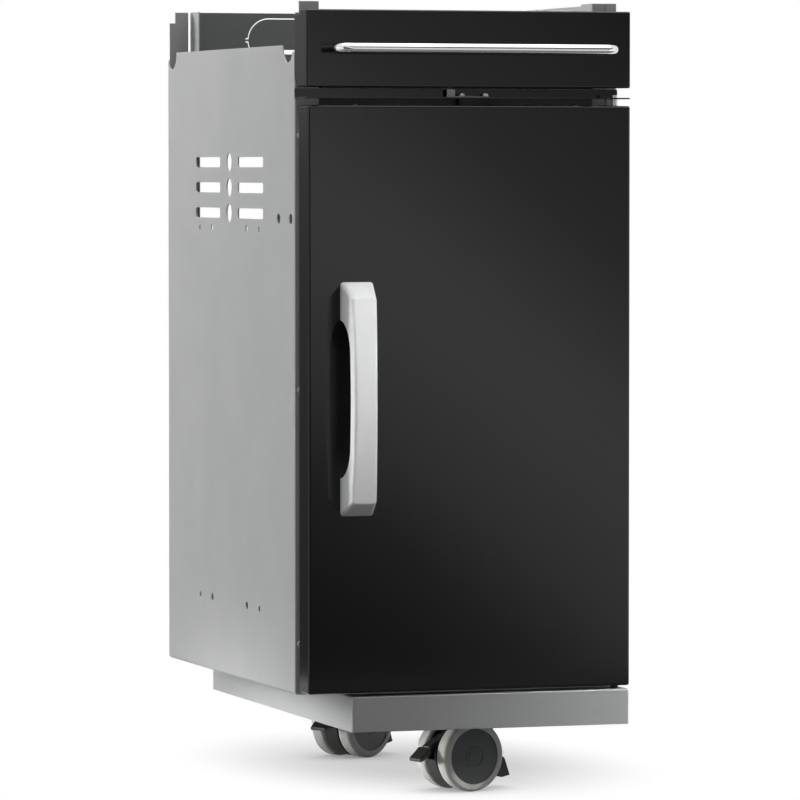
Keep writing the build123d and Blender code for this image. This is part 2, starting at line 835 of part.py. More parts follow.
def handle_side_outline():
    """Bow of the handle seen from the side: reach from the door against height."""
    middle = handle_height / 2
    shoulder = middle - handle_end_slope
    spring = middle - handle_foot
    crown = spring - handle_arch
    bow = (handle_reach - handle_end_reach) * (1 - (crown / shoulder) ** 2)
    under_end = handle_end_reach + bow - handle_grip
    under_middle = handle_reach - handle_grip
    arch_x = under_end * handle_arch_lead
    arch_z = spring - handle_arch * (1 - handle_arch_lift)
    outer = ThreePointArc((handle_end_reach, -shoulder), (handle_reach, 0), (handle_end_reach, shoulder))
    lines = outer + Line((handle_end_reach, shoulder), (0, middle))
    lines += Line((0, middle), (0, spring))
    lines += ThreePointArc((0, spring), (arch_x, arch_z), (under_end, crown))
    lines += ThreePointArc((under_end, crown), (under_middle, 0), (under_end, -crown))
    lines += ThreePointArc((under_end, -crown), (arch_x, -arch_z), (0, -spring))
    lines += Line((0, -spring), (0, -middle))
    lines += Line((0, -middle), (handle_end_reach, -shoulder))
    return make_face(lines)


def handle():
    """Die-cast bow handle with an upright left flank, narrowed towards the front on its right."""
    middle_z = (handle_bottom + handle_top) / 2
    side_plane = Plane(origin=(handle_x, door_front, middle_z), x_dir=(0, -1, 0), z_dir=(-1, 0, 0))
    half_base = handle_base_width / 2
    bow = extrude(side_plane * handle_side_outline(), half_base, both=True)
    front_x = handle_front_width - half_base
    corners = [(-half_base, 0), (half_base, 0), (front_x, -handle_reach), (-half_base, -handle_reach)]
    plan_plane = Plane(origin=(handle_x, door_front, handle_bottom))
    body = bow & extrude(plan_plane * make_face(Polyline(*corners, close=True)), handle_height)
    end_z = handle_height / 2 - handle_end_slope
    ends = [edge for edge in body.edges() if abs(edge.center().Z - middle_z) > end_z + snug]
    body = fillet([edge for edge in ends if edge.center().Y < door_front - snug], handle_corner_radius)
    bow_edges = [edge for edge in body.edges() if edge.center().Y < door_front - handle_end_reach + snug]
    body = fillet(bow_edges, handle_edge_radius)
    for x, z in handle_screw_spots():
        body -= rod((x, door_front, z), (x, door_front - handle_screw_depth, z), screw_diameter / 2 + snug)
    return body


def handle_screws():
    """Screws from inside the door skin into the handle's feet."""
    screws = []
    for x, z in handle_screw_spots():
        tip = (x, door_front - handle_screw_depth + play, z)
        screws.append(pan_screw((x, door_front + sheet, z), tip))
    return group(screws)


# Casters, drawn about the swivel axis with the wheels trailing towards -X, then turned and set in place
def xz_prism(outline, half_width):
    """Prism across the caster from an outline drawn in (length, height)."""
    return extrude(Plane.XZ * outline, half_width, both=True)


def across(x, z, radius, y0, y1):
    """Cylinder across the caster."""
    return rod((x, y0, z), (x, y1, z), radius)


def caster_plate():
    """Square zinc plate under the plinth."""
    half = caster_plate_side / 2
    plate = block(-half, half, -half, half, caster_plate_bottom, caster_top)
    plate = fillet(plate.edges().filter_by(Axis.Z), fold_radius * 2)
    bolt = caster_bolt_spacing / 2
    for dx, dy in ((-1, -1), (1, -1), (1, 1), (-1, 1)):
        spot = (bolt * dx, bolt * dy)
        plate -= rod((*spot, caster_plate_bottom), (*spot, caster_top), bolt_hole_radius)
    plate -= rod((0, 0, caster_plate_bottom), (0, 0, caster_top), kingpin_diameter / 2 + snug)
    plate -= rod((0, 0, caster_top - kingpin_flange_height), (0, 0, caster_top), kingpin_flange / 2 + snug)
    return plate


def caster_kingpin():
    """Swivel pin, its flange sunk in the top of the plate."""
    pin = rod((0, 0, caster_plate_bottom - kingpin_reach), (0, 0, caster_top), kingpin_diameter / 2)
    return pin + rod((0, 0, caster_top - kingpin_flange_height), (0, 0, caster_top), kingpin_flange / 2)


def wedge_outline():
    """Foot guard on the leading side of the fork."""
    front = wedge_reach - caster_trail
    return make_face(Polyline(
        (wedge_root - caster_trail, wheel_radius + wedge_root_rise),
        (wedge_shoulder - caster_trail, wheel_radius + wedge_shoulder_rise),
        (wedge_brow - caster_trail, wedge_brow_height),
        (front, wedge_tip_height),
        (front - wedge_toe, wedge_foot),
        (wedge_shoulder - wedge_toe - caster_trail, wedge_heel_height),
        close=True))


def caster_fork():
    """Moulded body between the wheels, with a roof over them and a round swivel head."""
    half = fork_thickness / 2
    body = across(-caster_trail, wheel_radius, fork_disc_radius, -half, half)
    neck_foot = wheel_radius + hood_clearance + wheel_radius
    body += rod((0, 0, neck_foot), (0, 0, fork_top), neck_radius)
    roof_outer = wheel_radius + hood_clearance + hood_thickness
    roof_half = wheel_gap / 2 + wheel_width
    roof = across(-caster_trail, wheel_radius, roof_outer, -roof_half, roof_half)
    roof -= across(-caster_trail, wheel_radius, wheel_radius + hood_clearance, -roof_half, roof_half)
    reach = roof_outer * sin(radians(hood_half_angle))
    roof &= block(-caster_trail - reach, reach - caster_trail, -roof_half, roof_half,
                  wheel_diameter, fork_top)
    body += roof
    body += block(-caster_trail - reach, reach, -half, half, wheel_radius, neck_foot + hood_thickness)
    body += xz_prism(wedge_outline(), half)
    seat = fork_top - kingpin_reach + play
    body -= rod((0, 0, seat - play * 2), (0, 0, fork_top), kingpin_diameter / 2 + running)
    body -= across(-caster_trail, wheel_radius, axle_diameter / 2 + snug, -half, half)
    slot = half - pedal_ear
    inner_x = pedal_x + pedal_boss_radius + 2 * play
    outer_x = -caster_trail - roof_outer
    low_z = pedal_z - pedal_slot_depth
    body -= block(outer_x, inner_x, -slot, slot, low_z, wheel_diameter - play)
    return body - across(pedal_x, pedal_z, pedal_pin_diameter / 2 + snug, -half, half)


def caster_axle():
    """Plain axle pin through the fork and into both hubs."""
    half = fork_thickness / 2 + axle_engagement
    return across(-caster_trail, wheel_radius, axle_diameter / 2, -half, half)


def wheel_face(side, width):
    """Place across the caster at a distance out from the wheel's inner face."""
    return side * (wheel_gap / 2 + width)


def wheel_tread(side):
    """Grey ring with rounded shoulders."""
    y0 = wheel_face(side, 0)
    y1 = wheel_face(side, wheel_width)
    ring = across(-caster_trail, wheel_radius, wheel_radius, y0, y1)
    ring = fillet(ring.edges().filter_by(GeomType.CIRCLE), tread_radius)
    return ring - across(-caster_trail, wheel_radius, tread_inner_radius, y0, y1)


def wheel_core(side):
    """Dark wheel body: rim, closed outer disc with a round cap, and a blind hub."""
    def ring(outer, w0, w1):
        return across(-caster_trail, wheel_radius, outer, wheel_face(side, w0), wheel_face(side, w1))

    rim = tread_inner_radius - snug
    disc_out = wheel_width - disc_recess
    disc_in = disc_out - disc_thickness
    core = ring(rim, disc_recess, disc_out) - ring(rim - rim_wall, disc_recess, disc_in)
    hub_in = (fork_thickness - wheel_gap) / 2 + play
    core += ring(hub_radius, hub_in, disc_in)
    core -= ring(cap_radius, disc_out - cap_groove_depth, disc_out) - ring(
        cap_radius - cap_groove, disc_out - cap_groove_depth, disc_out)
    boss_plane = Plane(origin=(-caster_trail, wheel_face(side, disc_out), wheel_radius),
                       x_dir=(1, 0, 0), z_dir=(0, side, 0))
    core += extrude(boss_plane * RegularPolygon(cap_boss_radius, 8), cap_boss_height)
    axle_end = (fork_thickness - wheel_gap) / 2 + axle_engagement + play
    return core - ring(axle_diameter / 2 + running, hub_in, axle_end)


def brake_pedal():
    """Foot lever: boss in the fork's slot, arm between the wheels and a broad paddle outside them."""
    half = pedal_arm_thickness / 2
    thick = pedal_paddle_thickness / 2
    root_x = -caster_trail - wheel_radius - pedal_wheel_clearance
    root_z = wheel_radius + pedal_root_rise
    tip_x = root_x - pedal_paddle_length
    tip_z = root_z - pedal_paddle_drop
    arm = make_face(Polyline(
        (pedal_x, pedal_z + pedal_boss_radius),
        (root_x, root_z + thick),
        (root_x, root_z - thick),
        (pedal_x, pedal_z - pedal_boss_radius),
        close=True))
    pedal = across(pedal_x, pedal_z, pedal_boss_radius, -half, half) + xz_prism(arm, half)
    paddle = make_face(Polyline(
        (root_x, root_z + thick),
        (tip_x, tip_z),
        (tip_x, tip_z - thick),
        (root_x, root_z - thick),
        close=True))
    blade = xz_prism(paddle, pedal_paddle_width / 2)
    pedal += fillet(blade.edges(), pedal_edge_radius)
    return pedal - across(pedal_x, pedal_z, pedal_pin_diameter / 2 + running, -half, half)


def pedal_pin():
    """Pivot pin through the fork's ears."""
    half = fork_thickness / 2
    return across(pedal_x, pedal_z, pedal_pin_diameter / 2, -half, half)


def placed_caster(name):
    """All pieces of one caster, turned to its rest angle under the plinth."""
    flat = Pos(*caster_places[name], 0)
    spot = flat * Rot(0, 0, caster_turns[name])
    return {
        f"{name}_caster_plate": flat * caster_plate(),
        f"{name}_caster_kingpin": flat * caster_kingpin(),
        f"{name}_caster_fork": spot * caster_fork(),
        f"{name}_caster_axle": spot * caster_axle(),
        f"{name}_fore_wheel_core": spot * wheel_core(-1),
        f"{name}_fore_wheel_tread": spot * wheel_tread(-1),
        f"{name}_aft_wheel_core": spot * wheel_core(1),
        f"{name}_aft_wheel_tread": spot * wheel_tread(1),
        f"{name}_brake_pedal": spot * brake_pedal(),
        f"{name}_pedal_pin": spot * pedal_pin(),
    }


# The whole cabinet, one entry per node
def cabinet_nodes():
    """Every node by name."""
    nodes = {
        "left_side_panel": left_side_panel(),
        "right_side_panel": right_side_panel(),
        "front_left_post": post(-1, -1),
        "front_right_post": post(1, -1),
        "rear_left_post": post(-1, 1),
        "rear_right_post": post(1, 1),
        "floor_panel": floor_panel(),
        "rear_panel": rear_panel(),
        "rear_top_rail": rear_top_rail(),
        "front_cross_rail": front_cross_rail(),
        "carcass_rivets": group([rivet(start, end) for start, end in all_rivet_lines()]),
        "plinth": plinth(),
        "caster_bolts": caster_bolts(),
        "caster_nuts": caster_nuts(),
        "fascia": fascia(),
        "fascia_screws": fascia_screws(),
        "towel_rail": towel_rail(),
        "towel_rail_screws": towel_rail_screws(),
        "hinge_plate": hinge_plate(),
        "upper_hinge_pin": upper_hinge_pin(),
        "lower_hinge_pin": lower_hinge_pin(),
        "hinge_spacer": hinge_spacer(),
        "catch_housing": catch_housing(),
        "catch_magnet": catch_magnet(),
        "catch_bracket": catch_bracket(),
        "catch_screws": catch_screws(),
        "door_skin": door_skin(),
        "door_liner": door_liner(),
        "door_upper_bush": door_bush(door_top, -1),
        "door_lower_bush": door_bush(door_bottom, 1),
        "door_buffers": door_buffers(),
        "strike_plate": strike_plate(),
        "door_handle": handle(),
        "handle_screws": handle_screws(),
    }
    for name in caster_places:
        nodes.update(placed_caster(name))
    return nodes


os.makedirs("parts", exist_ok=True)
for node_name, shape in cabinet_nodes().items():
    export_step(shape, f"parts/{node_name}.step")
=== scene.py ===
import logging
from dataclasses import dataclass, field
from enum import Enum
from math import cos, pi, radians, sin
from typing import Any, ClassVar

import bpy
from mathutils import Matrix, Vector


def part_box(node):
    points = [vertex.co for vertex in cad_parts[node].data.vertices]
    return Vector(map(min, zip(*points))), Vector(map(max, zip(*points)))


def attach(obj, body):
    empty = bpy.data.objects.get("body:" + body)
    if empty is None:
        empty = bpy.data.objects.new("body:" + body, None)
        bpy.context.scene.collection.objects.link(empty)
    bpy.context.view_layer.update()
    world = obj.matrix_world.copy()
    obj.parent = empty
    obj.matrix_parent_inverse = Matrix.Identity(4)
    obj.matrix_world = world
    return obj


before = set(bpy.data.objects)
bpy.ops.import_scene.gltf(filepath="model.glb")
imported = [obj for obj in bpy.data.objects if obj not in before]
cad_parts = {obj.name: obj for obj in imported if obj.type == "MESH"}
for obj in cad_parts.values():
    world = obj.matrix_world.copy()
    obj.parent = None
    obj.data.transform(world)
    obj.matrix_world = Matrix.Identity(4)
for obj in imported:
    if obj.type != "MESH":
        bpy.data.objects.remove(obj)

log = logging.getLogger("grill_cabinet")

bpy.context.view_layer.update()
MM_PER_METRE = 1000.0


# Shared small functions
def linear(code: str) -> tuple[float, float, float, float]:
    """Turn an sRGB hex colour into linear light.

    Args:
        code: Six hex digits with a leading hash.

    Returns:
        Red, green, blue and a full alpha, all linear.
    """
    parts = [int(code[i:i + 2], 16) / 255 for i in (1, 3, 5)]
    red, green, blue = (p / 12.92 if p <= 0.04045 else ((p + 0.055) / 1.055) ** 2.4 for p in parts)
    return red, green, blue, 1.0


def per_metre(size_mm: float) -> float:
    """Texture scale at which one feature of a pattern is this many millimetres wide."""
    return MM_PER_METRE / size_mm


def add_node(tree: bpy.types.NodeTree, kind: str, settings: dict[str, Any] | None = None,
             inputs: dict[str | int, Any] | None = None) -> bpy.types.Node:
    """Add one node, set it up and link it.

    Args:
        tree: The node tree to add to.
        kind: The node's type name.
        settings: Properties of the node itself.
        inputs: Socket name or number to a value, or to an output socket to link from.

    Returns:
        The new node.
    """
    node = tree.nodes.new(kind)
    for key, value in (settings or {}).items():
        setattr(node, key, value)
    for key, value in (inputs or {}).items():
        if isinstance(value, bpy.types.NodeSocket):
            tree.links.new(value, node.inputs[key])
        else:
            node.inputs[key].default_value = value
    return node


def background_rays(tree: bpy.types.NodeTree) -> bpy.types.NodeSocket:
    """Pick out the rays that see the plain background: straight from the camera, mirrored or let through.

    Args:
        tree: The floor's or the world's node tree.

    Returns:
        1 for such a ray, otherwise 0.
    """
    path = add_node(tree, "ShaderNodeLightPath")
    mirrored = add_node(tree, "ShaderNodeMath", {"operation": "MAXIMUM"}, {
        0: path.outputs["Is Camera Ray"], 1: path.outputs["Is Glossy Ray"]})
    return add_node(tree, "ShaderNodeMath", {"operation": "MAXIMUM"}, {
        0: mirrored.outputs[0], 1: path.outputs["Is Transmission Ray"]}).outputs[0]


class Grain(Enum):
    """Direction in which a worked surface's marks run, as stretch factors along X, Y and Z."""

    NONE = (1.0, 1.0, 1.0)
    ALONG_X = (0.02, 1.0, 1.0)
    ALONG_Z = (1.0, 1.0, 0.03)


class End(Enum):
    """The cabinet's two casters."""

    FRONT = "front"
    REAR = "rear"


class Wheel(Enum):
    """The two wheels of a caster."""

    FORE = "fore"
    AFT = "aft"


# Finishes
@dataclass(frozen=True)
class Finish:
    """A surface as it was made, with the pattern that gives it its look."""

    name: str
    slot: str
    colour: str
    shade: str
    edge: str
    roughness: float
    metallic: float = 0.0
    blotch_mm: float = 90.0
    grit_mm: float = 1.0
    grit_depth_mm: float = 0.05
    grit_tone: float = 0.3
    gloss_spread: float = 0.06
    edge_mm: float = 0.6
    edge_share: float = 0.25
    ior: float = 1.5
    grain: Grain = Grain.NONE

    made: ClassVar[dict[str, bpy.types.Material]] = {}
    noise_span: ClassVar[tuple[float, float]] = (0.3, 0.7)
    blotch_detail: ClassVar[float] = 3.0
    blotch_most: ClassVar[float] = 0.5
    grit_detail: ClassVar[float] = 2.0
    bump_strength: ClassVar[float] = 0.5
    bevel_samples: ClassVar[int] = 6
    edge_turn: ClassVar[tuple[float, float]] = (0.98, 0.75)

    def material(self) -> bpy.types.Material:
        """The finish's material, made once and then shared."""
        if self.name not in Finish.made:
            Finish.made[self.name] = self.mix()
        return Finish.made[self.name]

    def mix(self) -> bpy.types.Material:
        """Build the node tree: blotches and grit steer colour, gloss and relief.

        Returns:
            The new material.
        """
        material = bpy.data.materials.new(self.name)
        material.use_nodes = True
        tree = material.node_tree
        shader = tree.nodes["Principled BSDF"]
        shader.inputs["Metallic"].default_value = self.metallic
        shader.inputs["IOR"].default_value = self.ior
        place = add_node(tree, "ShaderNodeTexCoord").outputs["Object"]
        along = add_node(tree, "ShaderNodeMapping", inputs={"Vector": place, "Scale": self.grain.value})
        blotch = add_node(tree, "ShaderNodeTexNoise", inputs={
            "Vector": along.outputs[0], "Scale": per_metre(self.blotch_mm), "Detail": self.blotch_detail})
        grit = self.grit(tree, along.outputs[0])
        tone = add_node(tree, "ShaderNodeMapRange", inputs={
            "Value": grit, "To Max": self.grit_tone})
        share = add_node(tree, "ShaderNodeMath", {"operation": "ADD", "use_clamp": True}, {
            0: tone.outputs[0], 1: self.blotch_share(tree, blotch.outputs[0])})
        colour = add_node(tree, "ShaderNodeMix", {"data_type": "RGBA"}, {
            "Factor": share.outputs[0], 6: linear(self.colour), 7: linear(self.shade)})
        gloss = add_node(tree, "ShaderNodeMapRange", inputs={
            "Value": blotch.outputs[0], "From Min": self.noise_span[0], "From Max": self.noise_span[1],
            "To Min": self.roughness - self.gloss_spread, "To Max": self.roughness + self.gloss_spread})
        rounded = add_node(tree, "ShaderNodeBevel", {"samples": self.bevel_samples}, {
            "Radius": self.edge_mm / MM_PER_METRE}).outputs[0]
        relief = add_node(tree, "ShaderNodeBump", inputs={
            "Strength": self.bump_strength, "Distance": self.grit_depth_mm / MM_PER_METRE,
            "Height": grit, "Normal": rounded})
        # Edge tint: the colour turns towards the edge colour where the rounded normal leaves the flat one,
        # as worn coat on most finishes and as a painted highlight on the silver paint's folds.
        flat = add_node(tree, "ShaderNodeNewGeometry").outputs["Normal"]
        turn = add_node(tree, "ShaderNodeVectorMath", {"operation": "DOT_PRODUCT"}, {0: rounded, 1: flat})
        edge_wear_and_highlight = add_node(tree, "ShaderNodeMapRange", inputs={
            "Value": turn.outputs["Value"], "From Min": self.edge_turn[0], "From Max": self.edge_turn[1],
            "To Max": self.edge_share})
        worn_and_highlit = add_node(tree, "ShaderNodeMix", {"data_type": "RGBA"}, {
            "Factor": edge_wear_and_highlight.outputs[0], 6: colour.outputs[2], 7: linear(self.edge)})
        tree.links.new(worn_and_highlit.outputs[2], shader.inputs["Base Color"])
        tree.links.new(gloss.outputs[0], shader.inputs["Roughness"])
        tree.links.new(relief.outputs[0], shader.inputs["Normal"])
        return material

    def blotch_share(self, tree: bpy.types.NodeTree, blotch: bpy.types.NodeSocket) -> bpy.types.NodeSocket:
        """How far the broad pattern pulls the colour towards its shade.

        Args:
            tree: The material's tree.
            blotch: The broad pattern.

        Returns:
            A share from 0 to about a half.
        """
        return add_node(tree, "ShaderNodeMapRange", inputs={
            "Value": blotch, "From Min": self.noise_span[0], "From Max": self.noise_span[1],
            "To Max": self.blotch_most}).outputs[0]

    def grit(self, tree: bpy.types.NodeTree, place: bpy.types.NodeSocket) -> bpy.types.NodeSocket:
        """The fine pattern: soft noise, as a sprayed or moulded skin has.

        Args:
            tree: The material's tree.
            place: Where on the piece, in metres.

        Returns:
            The pattern's value.
        """
        return add_node(tree, "ShaderNodeTexNoise", inputs={
            "Vector": place, "Scale": per_metre(self.grit_mm), "Detail": self.grit_detail}).outputs[0]


@dataclass(frozen=True)
class Flaked(Finish):
    """A finish whose fine pattern is a mosaic of cells, as metal flake or zinc crystals are."""

    def grit(self, tree: bpy.types.NodeTree, place: bpy.types.NodeSocket) -> bpy.types.NodeSocket:
        """The fine pattern: one tone for each cell.

        Args:
            tree: The material's tree.
            place: Where on the piece, in metres.

        Returns:
            The pattern's value.
        """
        cells = add_node(tree, "ShaderNodeTexVoronoi", inputs={
            "Vector": place, "Scale": per_metre(self.grit_mm)})
        return add_node(tree, "ShaderNodeSeparateColor", inputs={0: cells.outputs["Color"]}).outputs[0]


# Silver metallic paint, sprayed on folded sheet: a soft sheen that brightens towards the light, with a fine
# sparkle. Real flakes are about 0.05 mm, too fine to show, so they are drawn at 0.9 mm. Its pale edge
# colour, spread over a wide bevel, is a painted highlight along the folds.
SILVER_PAINT = Flaked("sprayed_silver_paint", "silver_paint", "#a9aaa9", "#9c9e9d", "#cfd0cf", 0.44,
                      metallic=0.35, blotch_mm=160.0, grit_mm=0.9, grit_depth_mm=0.01, grit_tone=0.35,
                      edge_mm=1.2, edge_share=0.6)
# Black stoved enamel: deep gloss with a faint orange peel a few millimetres across, thin and paler on edges.
BLACK_ENAMEL = Finish("stoved_black_enamel", "black_enamel", "#070708", "#0a0a0b", "#2c2c2d", 0.1,
                      blotch_mm=120.0, grit_mm=4.0, grit_depth_mm=0.004, grit_tone=0.2, gloss_spread=0.02,
                      edge_mm=0.8, ior=1.45)
# Dark powder coat: matt and slightly grained, so edges show only a dull line.
DARK_POWDER = Finish("dark_powder_coat", "dark_paint", "#747775", "#696c6a", "#868987", 0.5,
                     blotch_mm=70.0, grit_mm=0.9, grit_depth_mm=0.05)
# Zinc-coated sheet: dull metal broken up by crystals about a fingertip wide.
GALVANISED = Flaked("galvanised_sheet", "galvanised_sheet", "#b9bcbe", "#9fa3a6", "#d0d2d3", 0.45,
                    metallic=1.0, blotch_mm=60.0, grit_mm=8.0, grit_depth_mm=0.01, grit_tone=0.7)
# Bright zinc plate on turned and headed steel: small parts with a cool, slightly cloudy shine.
ZINC_PLATE = Finish("bright_zinc_plate", "zinc_fasteners", "#cdced0", "#b3b5b2", "#dcddde", 0.3,
                    metallic=1.0, blotch_mm=6.0, grit_mm=0.8, grit_depth_mm=0.01, edge_mm=0.3)
# Polished chrome on a drawn bar: mirror bright, with faint polishing lines along the bar.
CHROME = Finish("polished_chrome", "chromed_bar", "#e6e7e8", "#d6d8da", "#f0f0f1", 0.1,
                metallic=1.0, blotch_mm=4.0, grit_mm=0.6, grit_depth_mm=0.002, gloss_spread=0.04,
                grain=Grain.ALONG_X)
# Die casting under a matted silver lacquer: pale, with a broad soft highlight and faint upright brush lines.
SATIN_CASTING = Finish("lacquered_die_casting", "satin_casting", "#eceded", "#e2e3e3", "#e8e9e9", 0.55,
                       blotch_mm=14.0, grit_mm=0.7, grit_depth_mm=0.008, gloss_spread=0.05, edge_mm=1.5,
                       edge_share=0.1, ior=1.33, grain=Grain.ALONG_Z)
# Black nylon, moulded in a spark-eroded tool: matt grain that lifts to a soft grey at edges.
BLACK_NYLON = Finish("moulded_black_nylon", "black_nylon", "#121213", "#19191a", "#323233", 0.46,
                     blotch_mm=22.0, grit_mm=0.8, grit_depth_mm=0.06)
# Glass-filled black nylon: the fibres at the skin make the fork body dead matt.
FORK_NYLON = Finish("glass_filled_nylon", "black_nylon", "#101011", "#161617", "#2a2a2b", 0.72,
                    blotch_mm=22.0, grit_mm=0.8, grit_depth_mm=0.06)
# Dark polypropylene wheel disc: moulded smoother than the fork, with a waxy sheen.
WHEEL_DISC = Finish("moulded_polypropylene", "wheel_disc", "#36383b", "#303235", "#4a4c4f", 0.4,
                    blotch_mm=18.0, grit_mm=1.0, grit_depth_mm=0.03)
# Grey thermoplastic rubber tread: matt and a little mottled.
GREY_TREAD = Finish("grey_rubber_tread", "grey_tread", "#d5d7d1", "#c8cac4", "#dcded8", 0.6,
                    blotch_mm=9.0, grit_mm=0.9, grit_depth_mm=0.05)
# Black moulded rubber: dead matt.
BLACK_RUBBER = Finish("moulded_black_rubber", "black_rubber", "#1d1d1c", "#262625", "#383837", 0.75,
                      blotch_mm=8.0, grit_mm=0.7, grit_depth_mm=0.05)
# Sintered ferrite: dull charcoal with a coarse grain.
FERRITE = Flaked("sintered_ferrite", "ferrite", "#4c4b4a", "#3c3b3b", "#5e5d5c", 0.6,
                 blotch_mm=8.0, grit_mm=0.8, grit_depth_mm=0.04)


@dataclass
class Assembly:
    """CAD nodes that belong together, and the finish that each one gets."""

    title: str
    finishes: dict[Finish, list[str]] = field(default_factory=dict)

    def dress(self) -> None:
        """Give every node its finish."""
        for finish, names in self.finishes.items():
            for name in names:
                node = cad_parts[name]
                self.paint(node, finish)
                log.info("%s: %s in %s", self.title, name, finish.name)

    def paint(self, piece: bpy.types.Object, finish: Finish) -> None:
        """Put one finish on a whole piece.

        Args:
            piece: The piece to paint.
            finish: Its finish.
        """
        piece.data.materials.clear()
        piece.data.materials.append(finish.material())


@dataclass
class Carcass(Assembly):
    """Sheet-metal box: side panels, posts, rails, floor and back."""

    title: str = "carcass"

    def __post_init__(self) -> None:
        """List the carcass's nodes by finish."""
        posts = [f"{end}_{side}_post" for end in ("front", "rear") for side in ("left", "right")]
        self.finishes = {
            SILVER_PAINT: ["left_side_panel", "right_side_panel", *posts],
            DARK_POWDER: ["rear_panel", "rear_top_rail", "front_cross_rail"],
            GALVANISED: ["floor_panel"],
            ZINC_PLATE: ["carcass_rivets"],
        }


@dataclass
class Plinth(Assembly):
    """Tray under the cabinet with the fixings of its casters."""

    title: str = "plinth"

    def __post_init__(self) -> None:
        """List the plinth's nodes by finish."""
        plates = [f"{end.value}_caster_plate" for end in End]
        self.finishes = {
            SILVER_PAINT: ["plinth"],
            GALVANISED: plates,
            ZINC_PLATE: ["caster_bolts", "caster_nuts", *[f"{end.value}_caster_kingpin" for end in End]],
        }


@dataclass
class Fascia(Assembly):
    """Black box over the door, with the towel rail."""

    title: str = "fascia"

    def __post_init__(self) -> None:
        """List the fascia's nodes by finish."""
        self.finishes = {
            BLACK_ENAMEL: ["fascia"],
            CHROME: ["towel_rail"],
            ZINC_PLATE: ["fascia_screws", "towel_rail_screws"],
        }


@dataclass
class HingeAndCatch(Assembly):
    """Plate over the door with the pivot pins and the magnet catch."""

    title: str = "hinge and catch"

    def __post_init__(self) -> None:
        """List the hinge's and the catch's nodes by finish."""
        self.finishes = {
            BLACK_ENAMEL: ["hinge_plate"],
            ZINC_PLATE: ["upper_hinge_pin", "lower_hinge_pin", "catch_screws"],
            BLACK_NYLON: ["hinge_spacer", "catch_housing"],
            GALVANISED: ["catch_bracket"],
            FERRITE: ["catch_magnet"],
        }


@dataclass
class Door(Assembly):
    """Folded door with its handle, bushes, stops and the rivets that hold its liner, in metres."""

    title: str = "door"
    rivet_spacing: float = 0.242
    rivet_inset: float = 0.015
    rivet_radius: float = 0.003
    rivet_height: float = 0.0022
    rivet_sunk: float = 0.0003
    rivet_sides: int = 24
    rivet_rings: int = 5

    def __post_init__(self) -> None:
        """List the door's nodes by finish."""
        self.finishes = {
            BLACK_ENAMEL: ["door_skin"],
            DARK_POWDER: ["door_liner"],
            SATIN_CASTING: ["door_handle"],
            BLACK_NYLON: ["door_upper_bush", "door_lower_bush"],
            BLACK_RUBBER: ["door_buffers"],
            GALVANISED: ["strike_plate"],
            ZINC_PLATE: ["handle_screws"],
        }

    def dress(self) -> None:
        """Give the door's nodes their finish and add its rivet heads."""
        super().dress()
        self.paint(self.build_rivets(), ZINC_PLATE)

    def build_rivets(self) -> bpy.types.Object:
        """Raise two domed rivet heads on the door's top edge, near the middle of its depth.

        Returns:
            Both heads as one piece that moves with the door.
        """
        low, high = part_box("door_skin")
        middle = Vector(((low[0] + high[0]) / 2, high[1] - self.rivet_inset, high[2]))
        points: list[Vector] = []
        faces: list[tuple[int, ...]] = []
        for side in (-0.5, 0.5):
            self.add_dome(middle + Vector((side * self.rivet_spacing, 0.0, 0.0)), points, faces)
        mesh = bpy.data.meshes.new("door_rivet_heads")
        mesh.from_pydata(points, [], faces)
        mesh.shade_smooth()
        heads = bpy.data.objects.new("door_rivet_heads", mesh)
        bpy.context.scene.collection.objects.link(heads)
        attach(heads, "door")
        log.info("%s: %s in %s", self.title, heads.name, ZINC_PLATE.name)
        return heads

    def add_dome(self, foot: Vector, points: list[Vector], faces: list[tuple[int, ...]]) -> None:
        """Append one closed dome to a mesh's points and faces.

        Args:
            foot: Middle of the dome's foot, on the door's surface.
            points: The mesh's points, added to.
            faces: The mesh's faces, added to.
        """
        first = len(points)
        sides = self.rivet_sides
        heights = [-self.rivet_sunk]
        radii = [self.rivet_radius]
        for ring in range(self.rivet_rings):
            slope = pi / 2 * ring / self.rivet_rings
            heights.append(self.rivet_height * sin(slope))
            radii.append(self.rivet_radius * cos(slope))
        for height, radius in zip(heights, radii):
            for side in range(sides):
                turn = 2 * pi * side / sides
                points.append(foot + Vector((radius * cos(turn), radius * sin(turn), height)))
        for ring in range(len(heights) - 1):
            for side in range(sides):
                here = first + ring * sides + side
                after = first + ring * sides + (side + 1) % sides
                faces.append((here, after, after + sides, here + sides))
        faces.append(tuple(first + side for side in reversed(range(sides))))
        top = first + (len(heights) - 1) * sides
        peak = len(points)
        points.append(foot + Vector((0.0, 0.0, self.rivet_height)))
        faces.extend((top + side, top + (side + 1) % sides, peak) for side in range(sides))


@dataclass
class Caster(Assembly):
    """Twin-wheel swivel caster with a brake pedal."""

    title: str = "caster"
    end: End = End.FRONT

    def __post_init__(self) -> None:
        """List the caster's nodes by finish."""
        name = self.end.value
        wheels = [f"{name}_{wheel.value}_wheel" for wheel in Wheel]
        self.finishes = {
            FORK_NYLON: [f"{name}_caster_fork"],
            BLACK_NYLON: [f"{name}_brake_pedal"],
            ZINC_PLATE: [f"{name}_caster_axle", f"{name}_pedal_pin"],
            WHEEL_DISC: [f"{wheel}_core" for wheel in wheels],
            GREY_TREAD: [f"{wheel}_tread" for wheel in wheels],
        }


